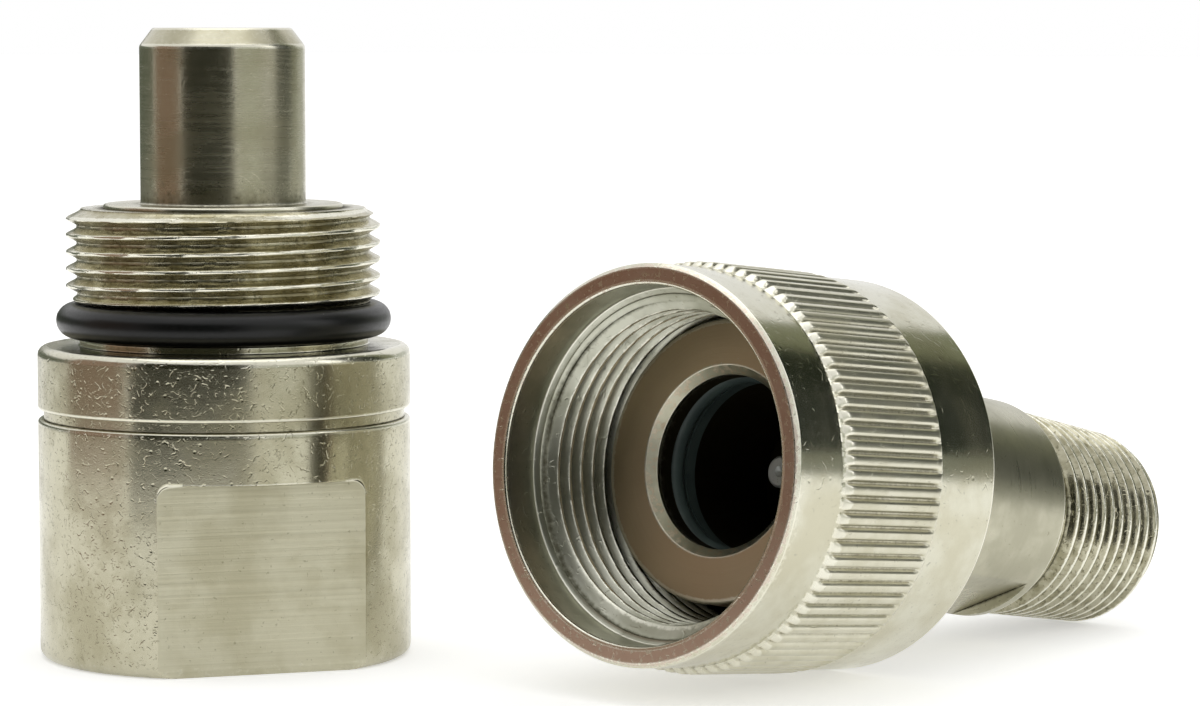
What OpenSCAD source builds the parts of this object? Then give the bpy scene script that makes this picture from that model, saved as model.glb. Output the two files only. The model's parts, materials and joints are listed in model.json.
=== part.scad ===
// Screw-to-connect quick coupling, apart: a plug half that stands on its port and a socket
// half that lies beside it, resting on its coupling nut and on the end of its tail.
// Z is up. The plug's axis is the Z axis, with its port face on the floor at the origin.
// Each socket piece is drawn along its own axis, from the mouth at z = 0 towards the tail,
// and is then laid down along +X.

/* [Connecting thread] */
// Outside diameter of the thread on the plug's nose
joint_thread_d = 28; // [28:0.1:28.4]
// Pitch of the connecting thread
joint_pitch = 1.5; // [1.25:0.25:1.75]
// Depth of the connecting thread's grooves
joint_thread_depth = 0.9; // [0.7:0.05:1]
// Radial play between the nut's thread and the plug's thread
joint_play = 0.1; // [0.05:0.05:0.2]

/* [Plug body] */
// Outside diameter of the plug's body and flange
plug_d = 33.2; // [33:0.1:36]
// Distance across the two wrench flats
plug_flats_w = 27.5; // [27:0.1:29]
// Height of the wrench flats above the port face
plug_flats_h = 16.7; // [14:0.1:18]
// Direction that one wrench flat faces, in degrees from the socket's direction
plug_flats_turn = -120; // [-180:0.5:180]
// Height of the port body
port_body_h = 21.3; // [20.5:0.1:23]
// Radius of the port's tapping bore
port_r = 7.6; // [7.2:0.1:8]
// Depth of the port's tapping bore
port_depth = 12.5; // [11:0.5:12.5]
// Step inwards at the end of the port's bore
port_step = 1; // [0.8:0.1:1.4]
// Bevel at the port's mouth
port_bevel = 0.5; // [0.3:0.1:1]
// Bevel round the foot of the port body
foot_bevel = 0.8; // [0.3:0.1:1.2]
// Bevel on the edges beside the joint groove
joint_bevel = 0.3; // [0.1:0.05:0.5]

/* [Plug nose] */
// Height of the groove between the port body and the flange
groove_h = 0.9; // [0.5:0.1:1.5]
// Depth of the groove between the port body and the flange
groove_depth = 0.5; // [0.3:0.1:0.8]
// Height of the nose's flange above that groove
flange_h = 5.6; // [4:0.1:7]
// Bevel round the top of the flange
flange_bevel = 0.8; // [0.3:0.1:1.2]
// Diameter of the low step that the collar ring sits on
step_d = 25.7; // [25:0.1:26.5]
// Height of that step
step_h = 0.7; // [0.4:0.1:1]
// Length of the threaded collar
collar_h = 8.4; // [7.5:0.1:10]
// Bevel at the top of the collar, measured across
collar_bevel = 1.5; // [1:0.1:1.8]
// Length of the nose's spigot in the port body
spigot_h = 7.2; // [5:0.1:8]
// Radius of the nose's spigot
spigot_r = 12.4; // [11.5:0.1:13]
// Radial play of the parts that are screwed together
screw_play = 0.02; // [0.01:0.01:0.05]

/* [Nozzle] */
// Outside diameter of the nozzle
nozzle_d = 14.7; // [14.2:0.1:14.8]
// Length of the nozzle above its foot
nozzle_len = 15.6; // [14:0.1:16]
// Bevel at the nozzle's tip, measured across
tip_bevel = 1.2; // [0.6:0.1:1.4]
// Bevel at the nozzle's tip, measured along
tip_bevel_h = 1.6; // [1:0.1:2]
// Diameter of the nozzle's foot ring
foot_d = 21.3; // [20.5:0.1:22]
// Thickness of the nozzle's foot ring
foot_h = 3; // [2.5:0.1:3.5]
// How far the foot ring stands above the collar
foot_proud = 0.4; // [0.2:0.1:0.6]
// Radius of the nozzle's threaded shank
shank_r = 9; // [8.6:0.1:9.4]
// Length of the nozzle's threaded shank
shank_h = 8; // [7:0.1:9]
// Radius of the nozzle's bore
nozzle_bore_r = 6; // [5.8:0.05:6.1]
// Radius of the opening in the nozzle's tip
tip_hole_r = 4.4; // [4.2:0.1:4.6]
// Straight length of that opening
tip_hole_h = 1.3; // [1.2:0.1:1.6]

/* [Coupling nut] */
// Outside diameter of the nut's plain band at the rear
nut_d = 34.2; // [34:0.1:36]
// Diameter over the knurl
knurl_d = 34.7; // [34.5:0.1:36.4]
// Diameter of the plain band at the mouth
nut_front_d = 33.6; // [33.2:0.1:34]
// Length of the nut
nut_len = 26.6; // [26.4:0.1:29]
// Distance from the mouth to the knurl
knurl_start = 5.9; // [5:0.1:7]
// Length of the knurled band
knurl_len = 12.8; // [10:0.1:14]
// Number of grooves in the knurl
knurl_count = 88; // [60:1:96]
// Depth of the knurl's grooves
knurl_depth = 0.42; // [0.3:0.02:0.5]
// Width of the knurl's grooves
knurl_w = 0.5; // [0.35:0.05:0.6]
// Bevel at the outer edge of the mouth
rim_bevel = 0.35; // [0.2:0.05:0.6]
// Bevel at the nut's rear edge
rear_bevel = 0.25; // [0.1:0.05:0.5]
// Diameter of the nut's mouth, which takes the plug's collar ring
mouth_d = 30; // [30:0.1:31]
// Depth of the nut's mouth before the thread
mouth_depth = 3.8; // [3.6:0.1:4.4]
// Diameter of the runout behind the nut's thread
runout_d = 29; // [28.6:0.1:30]
// Length of the runout behind the nut's thread
runout_len = 2.4; // [1.5:0.1:3]
// Distance from the mouth to the shoulder that pulls the socket body
shoulder_at = 19.6; // [19:0.1:20]
// Thickness of that shoulder
shoulder_len = 3.6; // [3:0.1:4]
// Radial play between the nut's shoulder and the socket's neck
neck_play = 0.6; // [0.5:0.05:1]

/* [Socket body] */
// Radial gap between the socket body's flange and the nut's thread
face_play = 1; // [0.9:0.1:1.2]
// Length of that flange
face_len = 7.1; // [6.6:0.1:7.2]
// Bevel round the flange's face
face_bevel = 0.3; // [0.2:0.05:0.5]
// Distance from the flange to the joint with the tail
joint_back = 3; // [2.5:0.1:3.5]
// How far the nut's mouth lies ahead of the socket's face
face_back = 10.4; // [10:0.1:11]
// Radial play of the nozzle in the socket's bore
nozzle_play = 0.12; // [0.05:0.01:0.2]
// Bevel at the mouth of the socket's bore
bore_bevel = 0.75; // [0.4:0.05:1]
// Spare depth of the bore behind the nozzle's tip
bore_spare = 0.4; // [0.2:0.1:0.6]
// Distance from the socket's face to the bore's ring groove
gland_at = 2.6; // [2.2:0.1:3]
// Radius of the spigot that joins the socket's body to its tail
socket_spigot_r = 8.4; // [8.3:0.05:8.6]
// Radius of the opening in the socket's valve seat
seat_hole_r = 5; // [4.8:0.1:5.2]
// Straight length of that opening
seat_hole_len = 0.8; // [0.5:0.1:1]
// Thickness of the socket's valve seat
seat_len = 2; // [1.8:0.1:2.2]

/* [Socket tail] */
// Outside diameter of the neck
neck_d = 20; // [19.8:0.1:20.6]
// Distance from the nut's mouth to the end of the neck
neck_end = 47.6; // [46:0.1:50]
// Distance across the two flats on the neck
neck_flats_w = 18; // [17.8:0.1:19]
// Length of the flats on the neck
neck_flats_len = 15.5; // [12:0.1:16]
// Distance from the end of those flats to the end of the neck
neck_flats_gap = 1; // [0.5:0.1:2]
// Direction that one flat faces, in degrees from straight down towards the front
neck_flats_turn = 24; // [-90:1:90]
// Length of the cone between the neck and the tail's thread
cone_len = 1.6; // [1:0.1:3]
// Length of the tail's taper thread
tail_thread_len = 16.4; // [14:0.1:18]
// Outside diameter of the tail's thread at its end
tail_end_d = 18.1; // [17.6:0.1:18.4]
// Taper of the tail's thread, as growth in diameter along its length
tail_taper = 0.0625; // [0.05:0.0025:0.07]
// Pitch of the tail's thread
tail_pitch = 1.5; // [1.25:0.25:1.75]
// Depth of the grooves of the tail's thread
tail_thread_depth = 0.75; // [0.6:0.05:0.9]
// Radius of the bore through the tail
tail_bore_r = 5.2; // [4.8:0.1:5.6]
// Radius of the valve chamber in the tail
chamber_r = 7.7; // [7.6:0.05:7.8]
// Length of the valve chamber
chamber_len = 15; // [14:0.1:16]

/* [Valves] */
// Radius of each valve's nose
nose_r = 1.4; // [1.2:0.1:1.6]
// Distance from the socket's face to its valve's nose
nose_depth = 8.2; // [7:0.1:9]
// Distance from the nozzle's tip to the plug valve's nose
nose_recess = 1; // [0.8:0.1:1.1]
// Radius of the plug valve's head
plug_head_r = 5.3; // [5.2:0.05:5.5]
// Radius of the socket valve's head
socket_head_r = 6.2; // [6:0.1:6.4]
// Bevel round the nose and round the stem's end
nose_edge = 0.2; // [0.1:0.05:0.3]
// Radius of the dimple in the middle of each valve's nose
dimple_r = 0.5; // [0.3:0.1:0.8]
// Depth of that dimple
dimple_depth = 0.3; // [0.2:0.1:0.5]
// How far each stem reaches past its guide
stem_past = 1; // [0.6:0.1:1.4]
// Thickness of each valve's head
head_len = 2.6; // [2.4:0.1:3]
// Radius of each valve's stem
stem_r = 1.7; // [1.4:0.1:2]
// Radial play of each stem in its guide
stem_play = 0.05; // [0.02:0.01:0.1]
// Gap between a closed valve's cone and its seat
seat_gap = 0.06; // [0.04:0.01:0.1]
// Thickness of the moulded ring in each valve's cone
cone_ring = 0.45; // [0.35:0.05:0.5]

/* [Springs, guides and rings] */
// Wire diameter of the valve springs
wire_d = 0.8; // [0.6:0.1:1]
// Turns of each valve spring
spring_turns = 5; // [4:1:6]
// Radius of each valve spring, to the wire's centre
spring_r = 3.4; // [3.2:0.1:3.6]
// Thickness of each spring guide
guide_len = 1.8; // [1.5:0.1:2.2]
// Thickness of each spring guide's hub round the stem
guide_web = 1.2; // [1:0.1:1.4]
// Holes round each spring guide
guide_holes = 6; // [4:1:6]
// Wire diameter of the snap rings under the guides
snap_d = 0.9; // [0.7:0.1:1]
// Wire diameter of the ring that keeps the nut on the neck
keeper_d = 1.8; // [1.6:0.1:2]
// Least gap between the nut's shoulder and that ring
keeper_gap = 0.1; // [0.06:0.02:0.2]
// Gap in each wire ring, in degrees
ring_gap = 24; // [15:1:40]

/* [Seals] */
// Section of the collar ring
collar_ring_d = 3.1; // [2.8:0.05:3.2]
// How far the collar ring stands out past the collar's thread
collar_ring_proud = 0.95; // [0.8:0.05:1.1]
// Section of the ring in the socket's bore
bore_ring_d = 1.9; // [1.8:0.05:2]
// Thickness of the back-up ring beside it
backup_len = 1.2; // [1:0.1:1.4]
// Gap between the bore ring and the floor of its groove
ring_room = 0.02; // [0.01:0.01:0.05]
// Spare length of that groove
gland_room = 0.1; // [0.06:0.02:0.2]
// How far the bore ring stands into the bore
bore_ring_squeeze = 0.35; // [0.2:0.05:0.4]
// Section of the ring between the port body and the nose
body_ring_d = 1.8; // [1.6:0.1:1.9]
// Section of the ring under the nozzle's foot
foot_ring_d = 1; // [0.8:0.1:1.1]
// Section of the ring between the socket's body and its tail
tail_ring_d = 1.2; // [1:0.1:1.3]

/* [Resting place] */
// Tilt of the nut's axis as the socket lies on the floor
nut_tilt = 6.4; // [5:0.1:8]
// Where the nut's axis and the body's axis cross, from the nut's mouth
lean_at = 18.5; // [16:0.5:22]
// Distance along X from the plug's axis to the nut's mouth
socket_x = 3.4; // [-6:0.1:8]
// Distance along Y from the plug's axis to the nut's mouth
socket_y = -46.2; // [-60:0.1:-40]

/* [Hidden] */
$fn = 96;
eps = 0.01;

nickel = [0.75, 0.74, 0.69];
bare_steel = [0.62, 0.6, 0.55];
black_rubber = [0.05, 0.05, 0.05];
seal_plastic = [0.45, 0.52, 0.5];
spring_steel = [0.45, 0.45, 0.46];

// Plug heights, from the port face up
plug_r = plug_d / 2;
flange_z = port_body_h + groove_h;
flange_top = flange_z + flange_h;
step_top = flange_top + step_h;
collar_z = step_top + collar_ring_d;
collar_top = collar_z + collar_h;
foot_top = collar_top + foot_proud;
foot_z = foot_top - foot_h;
shank_z = foot_z - shank_h;
nozzle_r = nozzle_d / 2;
nozzle_top = foot_top + nozzle_len;
nozzle_seat_z = nozzle_top - tip_hole_h;
spigot_z = port_body_h - spigot_h;
passage_z = spigot_z - port_step;
passage_r = port_r - port_step;
collar_ring_r = joint_thread_d / 2 + collar_ring_proud - collar_ring_d / 2;

snap_z = shank_z + snap_d * 1.2;
guide_z = snap_z + snap_d / 2;
plug_spring_z = guide_z + guide_len;
plug_head_z = nozzle_seat_z - seat_gap * sqrt(2) - (plug_head_r - tip_hole_r) - head_len;

// Socket distances, from the nut's mouth towards the tail
bore_r = nozzle_r + nozzle_play;
gland_r = bore_r - bore_ring_squeeze + bore_ring_d + ring_room;
nut_thread_r = joint_thread_d / 2 + joint_play - joint_thread_depth;
face_r = nut_thread_r - face_play;
face_end = face_back + face_len;
bore_end = face_back + nozzle_len + bore_spare;
seat_end = bore_end + seat_len;
joint_at = face_end + joint_back;
chamber_end = seat_end + chamber_len;
socket_seat = bore_end + seat_hole_len;
socket_guide_z = chamber_end - guide_len;
socket_head_at = socket_seat + seat_gap * sqrt(2) + socket_head_r - seat_hole_r + head_len;
thread_at = neck_end + cone_len;
tail_end = thread_at + tail_thread_len;
neck_r = neck_d / 2;
tail_end_r = tail_end_d / 2;
tail_start_r = tail_end_r + tail_thread_len * tail_taper / 2;
gland_end = face_back + gland_at + bore_ring_d + backup_len + gland_room;

// The nut rests on its rear edge, and the body on the end of its tail
nut_r = nut_d / 2;
nut_edge = nut_len - rear_bevel;
mouth_height = nut_r * cos(nut_tilt) + nut_edge * sin(nut_tilt);
lean_height = mouth_height - lean_at * sin(nut_tilt);
tail_bevel = tail_thread_depth * 0.7;
tail_edge_at = tail_end - tail_bevel * 2;
tail_edge_r = tail_end_r + tail_bevel * tail_taper;
tail_reach = tail_edge_at - lean_at;
body_tilt = asin(lean_height / norm([tail_reach, tail_edge_r])) - atan2(tail_edge_r, tail_reach);

// The keeper ring clears the nut's shoulder all round, though the two axes are at an angle
keeper_swing = (neck_r + keeper_d / 2) * tan(body_tilt - nut_tilt);
keeper_at = shoulder_at + shoulder_len + keeper_swing + keeper_gap + keeper_d / 2;

// Lays a piece of the nut down along +X, mouth first
module lie_nut() {
    translate([socket_x, socket_y, mouth_height]) rotate([0, 90 + nut_tilt, 0]) children();
}

// Lays a piece of the socket's body down along +X, with its axis through the nut's
module lie_body() {
    translate([socket_x + lean_at * cos(nut_tilt), socket_y, lean_height])
        rotate([0, 90 + body_tilt, 0])
            translate([0, 0, -lean_at])
                children();
}

// A turned solid from its outline, given as points [radius, height]
module turned(points) {
    rotate_extrude() polygon(points);
}

// A ring of round section
module round_ring(ring_r, section_d, height) {
    translate([0, 0, height]) rotate_extrude() translate([ring_r, 0]) circle(d = section_d);
}

// An open ring of round wire
module wire_ring(ring_r, section_d, height) {
    translate([0, 0, height])
        rotate([0, 0, ring_gap / 2])
            rotate_extrude(angle = 360 - ring_gap)
                translate([ring_r, 0])
                    circle(d = section_d);
}

// Outline points of ring grooves on the outside of a shaft, from low to high
function outer_grooves(start, pitch, count, r, depth, growth) = [
    for (i = [0 : count - 1])
        let (z = start + i * pitch, shift = i * pitch * growth)
            each [
                [r + shift, z + pitch * 0.06],
                [r - depth + shift, z + pitch * 0.46],
                [r - depth + shift, z + pitch * 0.54],
                [r + shift, z + pitch * 0.94]
            ]
];

// Outline points of ring grooves in a bore, from low to high
function inner_grooves(start, pitch, count, r, depth) = [
    for (i = [0 : count - 1])
        let (z = start + i * pitch)
            each [
                [r, z + pitch * 0.08],
                [r + depth, z + pitch * 0.45],
                [r + depth, z + pitch * 0.55],
                [r, z + pitch * 0.92]
            ]
];

// Two flats, width apart, cut from height z0 over length len
module flats(width, outer_r, z0, len, turn) {
    for (side = [0, 180])
        rotate([0, 0, turn + side])
            translate([width / 2, -outer_r, z0])
                cube([outer_r, 2 * outer_r, len]);
}

module plug_port_body() {
    color(nickel) difference() {
        turned([
            [port_r, 0], [plug_r - foot_bevel, 0], [plug_r, foot_bevel],
            [plug_r, port_body_h - joint_bevel], [plug_r - joint_bevel, port_body_h],
            [spigot_r + body_ring_d, port_body_h],
            [spigot_r + body_ring_d, port_body_h - body_ring_d],
            [spigot_r + screw_play, port_body_h - body_ring_d],
            [spigot_r + screw_play, spigot_z], [passage_r, spigot_z],
            [passage_r, passage_z], [port_r, port_depth]
        ]);
        translate([0, 0, -eps])
            cylinder(r1 = port_r + port_bevel, r2 = port_r, h = port_bevel);
        flats(plug_flats_w, plug_r, -eps, plug_flats_h, plug_flats_turn);
    }
}

module plug_nose() {
    inside_r = shank_r + screw_play;
    collar_r = joint_thread_d / 2;
    turns = floor((collar_h - collar_bevel * 0.6) / joint_pitch);
    ring_floor_r = collar_ring_r - collar_ring_d / 2;
    color(nickel) turned(concat(
        [
            [inside_r, spigot_z], [spigot_r, spigot_z], [spigot_r, port_body_h],
            [plug_r - groove_depth, port_body_h], [plug_r - groove_depth, flange_z],
            [plug_r - joint_bevel, flange_z], [plug_r, flange_z + joint_bevel],
            [plug_r, flange_top - flange_bevel], [plug_r - flange_bevel, flange_top],
            [step_d / 2, flange_top], [step_d / 2, step_top], [ring_floor_r, step_top],
            [ring_floor_r, collar_z], [collar_r - joint_thread_depth, collar_z]
        ],
        outer_grooves(collar_z, joint_pitch, turns, collar_r, joint_thread_depth, 0),
        [
            [collar_r, collar_top - collar_bevel * 0.6], [collar_r - collar_bevel, collar_top],
            [foot_d / 2 + screw_play, collar_top], [foot_d / 2 + screw_play, foot_z],
            [shank_r + foot_ring_d, foot_z], [shank_r + foot_ring_d, foot_z - foot_ring_d],
            [inside_r, foot_z - foot_ring_d]
        ]
    ));
}

module plug_nozzle() {
    seat_slope = nozzle_bore_r - tip_hole_r;
    foot_bevel_in = foot_proud * 0.6;
    color(nickel) turned([
        [nozzle_bore_r, shank_z], [shank_r, shank_z], [shank_r, foot_z],
        [foot_d / 2, foot_z], [foot_d / 2, foot_top - foot_bevel_in],
        [foot_d / 2 - foot_bevel_in, foot_top], [nozzle_r, foot_top],
        [nozzle_r, nozzle_top - tip_bevel_h], [nozzle_r - tip_bevel, nozzle_top],
        [tip_hole_r, nozzle_top], [tip_hole_r, nozzle_seat_z],
        [nozzle_bore_r, nozzle_seat_z - seat_slope],
        [nozzle_bore_r, snap_z + snap_d / 2], [nozzle_bore_r + snap_d / 2, snap_z + snap_d / 2],
        [nozzle_bore_r + snap_d / 2, snap_z - snap_d / 2], [nozzle_bore_r, snap_z - snap_d / 2]
    ]);
}

// A valve that points up: nose, cone with a notch for its ring, head and stem.
// cone_r and cone_z say where the opening of its seat starts.
module valve(nose_z, cone_r, cone_z, head_r, stem_z) {
    face_z = cone_z - seat_gap * sqrt(2);
    head_z = face_z - (head_r - cone_r);
    notch_r = head_r - cone_ring * 1.4;
    notch_z = head_z + cone_ring * 0.4;
    root = (nose_z - nose_edge - face_z) * 0.3;
    turned([
        [0, nose_z - dimple_depth], [dimple_r, nose_z], [nose_r - nose_edge, nose_z],
        [nose_r, nose_z - nose_edge], [nose_r, face_z + root], [nose_r + root, face_z],
        [cone_r, face_z], [notch_r, head_z + cone_ring * 1.4], [notch_r, notch_z],
        [head_r - cone_ring * 0.4, notch_z], [head_r, head_z],
        [head_r, head_z - head_len], [stem_r * 1.4, head_z - head_len],
        [stem_r, head_z - head_len - stem_r * 0.4], [stem_r, stem_z + nose_edge],
        [stem_r - nose_edge, stem_z], [0, stem_z]
    ]);
}

// The moulded ring that lies in a valve's cone and meets the seat
module valve_ring(cone_r, cone_z, head_r) {
    head_z = cone_z - seat_gap * sqrt(2) - (head_r - cone_r);
    notch_r = head_r - cone_ring * 1.4 + eps;
    notch_z = head_z + cone_ring * 0.4 + eps;
    proud = seat_gap * 0.6;
    turned([
        [notch_r, notch_z], [head_r - cone_ring * 0.4 + proud, notch_z],
        [notch_r, head_z + cone_ring * 1.4 + proud]
    ]);
}

// A valve spring between two heights, with closed ends
module valve_spring(z0, z1) {
    steps = 16;
    rise = (z1 - z0 - wire_d) / spring_turns;
    sides = 6;
    count = spring_turns * steps;
    points = [
        for (i = [0 : count])
            let (turn = i * 360 / steps, z = z0 + wire_d / 2 + rise * i / steps)
                for (k = [0 : sides - 1])
                    let (a = k * 360 / sides, out = spring_r + wire_d / 2 * cos(a))
                        [out * cos(turn), out * sin(turn), z + wire_d / 2 * sin(a)]
    ];
    walls = [
        for (i = [0 : count - 1], k = [0 : sides - 1])
            let (a = i * sides + k, b = i * sides + (k + 1) % sides)
                [a, b, b + sides, a + sides]
    ];
    start_face = [for (k = [0 : sides - 1]) sides - 1 - k];
    end_face = [for (k = [0 : sides - 1]) count * sides + k];
    polyhedron(points, concat([start_face, end_face], walls));
}

// A spider that guides a valve's stem and carries its spring
module spring_guide(outer_r, height) {
    hole_ring_r = (outer_r + stem_r) / 2 + guide_web / 6;
    hole_r = (outer_r - stem_r) / 2 - guide_web * 5 / 6;
    translate([0, 0, height]) difference() {
        cylinder(r = outer_r, h = guide_len);
        translate([0, 0, -eps]) cylinder(r = stem_r + stem_play, h = guide_len + 2 * eps);
        for (i = [0 : guide_holes - 1])
            rotate([0, 0, i * 360 / guide_holes])
                translate([hole_ring_r, 0, -eps])
                    cylinder(r = hole_r, h = guide_len + 2 * eps, $fn = 32);
    }
}

module plug_valve() {
    color(bare_steel)
        valve(nozzle_top - nose_recess, tip_hole_r, nozzle_seat_z, plug_head_r,
            guide_z - stem_past);
}

module plug_valve_ring() {
    color(black_rubber) valve_ring(tip_hole_r, nozzle_seat_z, plug_head_r);
}

module plug_spring() {
    color(spring_steel) valve_spring(plug_spring_z, plug_head_z);
}

module plug_spring_guide() {
    color(bare_steel) spring_guide(nozzle_bore_r - screw_play, guide_z);
}

module plug_snap_ring() {
    color(spring_steel)
        wire_ring(nozzle_bore_r, snap_d - 2 * screw_play, snap_z);
}

module collar_ring() {
    color(black_rubber)
        round_ring(collar_ring_r, collar_ring_d, step_top + collar_ring_d / 2);
}

module plug_body_ring() {
    color(black_rubber)
        round_ring(spigot_r + body_ring_d / 2, body_ring_d, port_body_h - body_ring_d / 2);
}

module nozzle_foot_ring() {
    color(black_rubber)
        round_ring(shank_r + foot_ring_d / 2, foot_ring_d, foot_z - foot_ring_d / 2);
}

module coupling_nut() {
    front_r = nut_front_d / 2;
    knurl_r = knurl_d / 2;
    knurl_end = knurl_start + knurl_len;
    thread_end = shoulder_at - runout_len;
    turns = floor((thread_end - mouth_depth) / joint_pitch);
    keeper_r = neck_r + neck_play + keeper_d;
    step = knurl_r - front_r;
    color(nickel) lie_nut() difference() {
        turned(concat(
            [
                [nut_thread_r, thread_end], [runout_d / 2, thread_end],
                [runout_d / 2, shoulder_at], [neck_r + neck_play, shoulder_at],
                [neck_r + neck_play, shoulder_at + shoulder_len],
                [keeper_r, shoulder_at + shoulder_len], [keeper_r, nut_len],
                [nut_r - rear_bevel, nut_len], [nut_r, nut_edge],
                [nut_r, knurl_end + knurl_r - nut_r], [knurl_r, knurl_end],
                [knurl_r, knurl_start + step], [front_r, knurl_start],
                [front_r, rim_bevel], [front_r - rim_bevel, 0], [mouth_d / 2, 0],
                [mouth_d / 2, mouth_depth]
            ],
            inner_grooves(mouth_depth, joint_pitch, turns, nut_thread_r, joint_thread_depth)
        ));
        for (i = [0 : knurl_count - 1])
            rotate([0, 0, i * 360 / knurl_count])
                translate([knurl_r, 0, knurl_start + step * 0.3])
                    linear_extrude(knurl_len - step * 0.1)
                        polygon([[-knurl_depth, 0], [eps, -knurl_w / 2], [eps, knurl_w / 2]]);
    }
}

module nut_keeper_ring() {
    color(spring_steel) lie_body() wire_ring(neck_r, keeper_d, keeper_at);
}

module socket_body() {
    seat_r = seat_hole_r + seat_len - seat_hole_len;
    color(nickel) lie_body() turned([
        [bore_r, bore_end], [seat_hole_r, bore_end], [seat_hole_r, bore_end + seat_hole_len],
        [seat_r, seat_end], [socket_spigot_r, seat_end], [socket_spigot_r, joint_at],
        [neck_r, joint_at], [neck_r, face_end], [face_r, face_end],
        [face_r, face_back + face_bevel], [face_r - face_bevel, face_back],
        [bore_r + bore_bevel, face_back], [bore_r, face_back + bore_bevel],
        [bore_r, face_back + gland_at], [gland_r, face_back + gland_at],
        [gland_r, gland_end], [bore_r, gland_end]
    ]);
}

module socket_tail() {
    turns = floor((tail_thread_len - 2 * tail_bevel) / tail_pitch);
    thread_root_r = tail_start_r - tail_thread_depth;
    color(nickel) lie_body() difference() {
        turned(concat(
            [
                [tail_bore_r, tail_end], [tail_bore_r, chamber_end], [chamber_r, chamber_end],
                [chamber_r, seat_end], [socket_spigot_r + screw_play, seat_end],
                [socket_spigot_r + screw_play, joint_at + tail_ring_d],
                [socket_spigot_r + tail_ring_d, joint_at + tail_ring_d],
                [socket_spigot_r + tail_ring_d, joint_at], [neck_r, joint_at],
                [neck_r, keeper_at - keeper_d / 2], [neck_r - keeper_d / 2, keeper_at - keeper_d / 2],
                [neck_r - keeper_d / 2, keeper_at + keeper_d / 2], [neck_r, keeper_at + keeper_d / 2],
                [neck_r, neck_end], [thread_root_r, thread_at]
            ],
            outer_grooves(thread_at, tail_pitch, turns, tail_start_r, tail_thread_depth,
                -tail_taper / 2),
            [
                [tail_edge_r, tail_edge_at], [tail_end_r - tail_bevel, tail_end]
            ]
        ));
        flats(neck_flats_w, neck_r, neck_end - neck_flats_gap - neck_flats_len, neck_flats_len,
            -neck_flats_turn);
    }
}

module bore_ring() {
    ring_r = bore_r - bore_ring_squeeze + bore_ring_d / 2;
    color(black_rubber) lie_body()
        round_ring(ring_r, bore_ring_d, face_back + gland_at + bore_ring_d / 2);
}

module bore_backup_ring() {
    start = gland_end - gland_room / 2 - backup_len;
    inner_r = bore_r - nozzle_play / 2;
    color(seal_plastic) lie_body()
        turned([[inner_r, start], [gland_r, start], [gland_r, start + backup_len],
            [inner_r, start + backup_len]]);
}

module socket_joint_ring() {
    color(black_rubber) lie_body()
        round_ring(socket_spigot_r + tail_ring_d / 2, tail_ring_d, joint_at + tail_ring_d / 2);
}

// Turns a piece about, so that what points up points to the socket's mouth
module face_about() {
    mirror([0, 0, 1]) children();
}

module socket_valve() {
    color(bare_steel) lie_body() face_about()
        valve(-face_back - nose_depth, seat_hole_r, -socket_seat, socket_head_r,
            -chamber_end - stem_past);
}

module socket_valve_ring() {
    color(black_rubber) lie_body() face_about()
        valve_ring(seat_hole_r, -socket_seat, socket_head_r);
}

module socket_spring() {
    color(spring_steel) lie_body() valve_spring(socket_head_at, socket_guide_z);
}

module socket_spring_guide() {
    color(bare_steel) lie_body() spring_guide(chamber_r - screw_play, socket_guide_z);
}

plug_port_body();
plug_nose();
plug_nozzle();
plug_valve();
plug_valve_ring();
plug_spring();
plug_spring_guide();
plug_snap_ring();
collar_ring();
plug_body_ring();
nozzle_foot_ring();
coupling_nut();
nut_keeper_ring();
socket_body();
socket_tail();
bore_ring();
bore_backup_ring();
socket_joint_ring();
socket_valve();
socket_valve_ring();
socket_spring();
socket_spring_guide();
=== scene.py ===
import json
import math
import random

import bmesh
import bpy
import numpy as np
from mathutils import Matrix, Vector


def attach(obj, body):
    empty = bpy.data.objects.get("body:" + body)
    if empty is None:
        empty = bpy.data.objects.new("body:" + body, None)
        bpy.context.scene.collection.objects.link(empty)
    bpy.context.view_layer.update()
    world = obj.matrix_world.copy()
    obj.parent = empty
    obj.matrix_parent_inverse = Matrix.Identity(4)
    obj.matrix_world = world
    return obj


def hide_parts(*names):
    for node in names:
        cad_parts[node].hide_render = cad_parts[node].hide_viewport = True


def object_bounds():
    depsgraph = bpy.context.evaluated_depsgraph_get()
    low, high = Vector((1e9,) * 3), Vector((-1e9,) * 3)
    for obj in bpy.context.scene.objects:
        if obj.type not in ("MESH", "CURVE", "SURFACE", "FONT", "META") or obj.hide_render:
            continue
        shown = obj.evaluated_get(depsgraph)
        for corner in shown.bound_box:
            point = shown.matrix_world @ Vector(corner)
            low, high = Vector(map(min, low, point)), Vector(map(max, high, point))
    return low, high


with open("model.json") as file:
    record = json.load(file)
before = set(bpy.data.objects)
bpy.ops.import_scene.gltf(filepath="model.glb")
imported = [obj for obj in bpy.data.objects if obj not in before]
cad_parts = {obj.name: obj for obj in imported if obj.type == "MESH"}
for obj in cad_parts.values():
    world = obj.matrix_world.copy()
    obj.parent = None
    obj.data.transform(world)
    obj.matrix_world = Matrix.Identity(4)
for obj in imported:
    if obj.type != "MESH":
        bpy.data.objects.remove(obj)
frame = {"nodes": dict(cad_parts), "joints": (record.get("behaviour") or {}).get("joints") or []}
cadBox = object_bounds()
joints = {joint["name"]: joint for joint in frame["joints"]}
mm = 0.001
fullTurn = 2 * math.pi
print("frame loaded:", len(frame["nodes"]), "solids")


# every turned piece is a stack of rings round its own Z axis

def alongAxis(position, axis):
    # places a piece with its Z along the axis and its X turned as little as possible
    turn = Vector((0, 0, 1)).rotation_difference(Vector(axis))
    return Matrix.Translation(Vector(position)) @ turn.to_matrix().to_4x4()


def evenAngles(count):
    return np.arange(count) * fullTurn / count


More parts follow.
